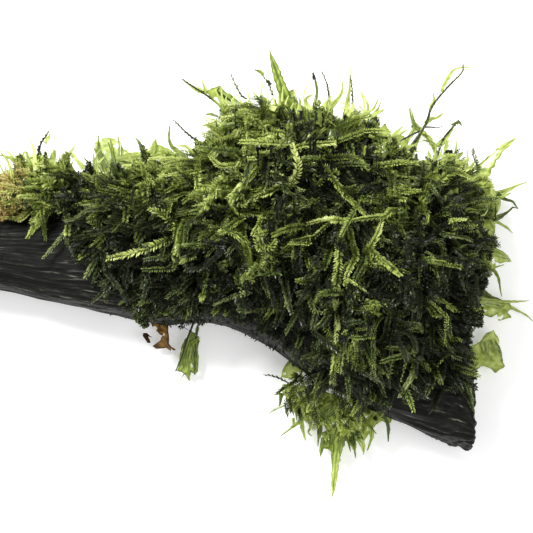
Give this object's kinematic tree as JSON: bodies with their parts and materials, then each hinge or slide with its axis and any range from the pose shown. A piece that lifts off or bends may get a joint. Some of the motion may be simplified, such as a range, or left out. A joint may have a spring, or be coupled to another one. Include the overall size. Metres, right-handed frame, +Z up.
{
  "type": "aquarium moss on driftwood",
  "caption": "Dark flared driftwood limb overgrown with a mound of leafy aquatic moss, with draped tufts and wet fringes round its edge; it rests on its flat underside.",
  "frame": {"origin": "a point on the driftwood's flat underside, below the middle of the picture's view", "axes": "+X along the driftwood, from the end of the limb to the broad end; +Y to the back, where the long fronds stand; +Z up from the underside"},
  "size_m": [0.1401, 0.0986, 0.0405],
  "materials": {
    "wood": "wet, water-worn, nearly black, grain along the limb",
    "moss_dark": "wet deep green moss leaves",
    "moss_mid": "wet mid green moss leaves, slightly translucent",
    "moss_bright": "wet yellow-green new growth, translucent",
    "moss_tan": "ageing tan and olive moss leaves",
    "leaf_brown": "wet, reddish brown old leaf"
  },
  "bodies": {
    "root": {"driftwood": "wood", "moss_mound": "moss_dark", "moss_saddle": "moss_mid", "moss_limb_tuft": "moss_tan", "moss_front_skirt": "moss_mid", "moss_right_skirt": "moss_mid", "moss_back_fringe": "moss_bright", "moss_front_fringe": "moss_bright", "moss_right_fringe": "moss_bright", "moss_tuft_front": "moss_bright", "brown_leaf": "leaf_brown", "frond_back_01": "moss_mid", "frond_back_02": "moss_mid", "frond_back_03": "moss_mid", "frond_back_04": "moss_mid", "frond_back_05": "moss_mid", "frond_back_06": "moss_mid", "frond_back_07": "moss_mid", "frond_back_08": "moss_mid", "frond_back_09": "moss_mid", "frond_back_10": "moss_mid", "frond_back_11": "moss_mid", "frond_back_12": "moss_mid", "frond_right_01": "moss_mid", "frond_right_02": "moss_mid", "frond_right_03": "moss_mid", "frond_right_04": "moss_mid", "frond_right_05": "moss_mid", "frond_right_06": "moss_mid", "frond_right_07": "moss_mid", "frond_right_08": "moss_mid", "frond_right_09": "moss_mid", "frond_right_10": "moss_mid", "frond_right_11": "moss_mid", "frond_right_12": "moss_mid", "frond_right_13": "moss_mid", "frond_front_01": "moss_mid", "frond_front_02": "moss_mid", "frond_front_03": "moss_mid", "frond_front_04": "moss_mid", "frond_front_05": "moss_mid", "frond_left_01": "moss_mid", "frond_left_02": "moss_mid", "frond_left_03": "moss_mid"}
  },
  "joints": []
}
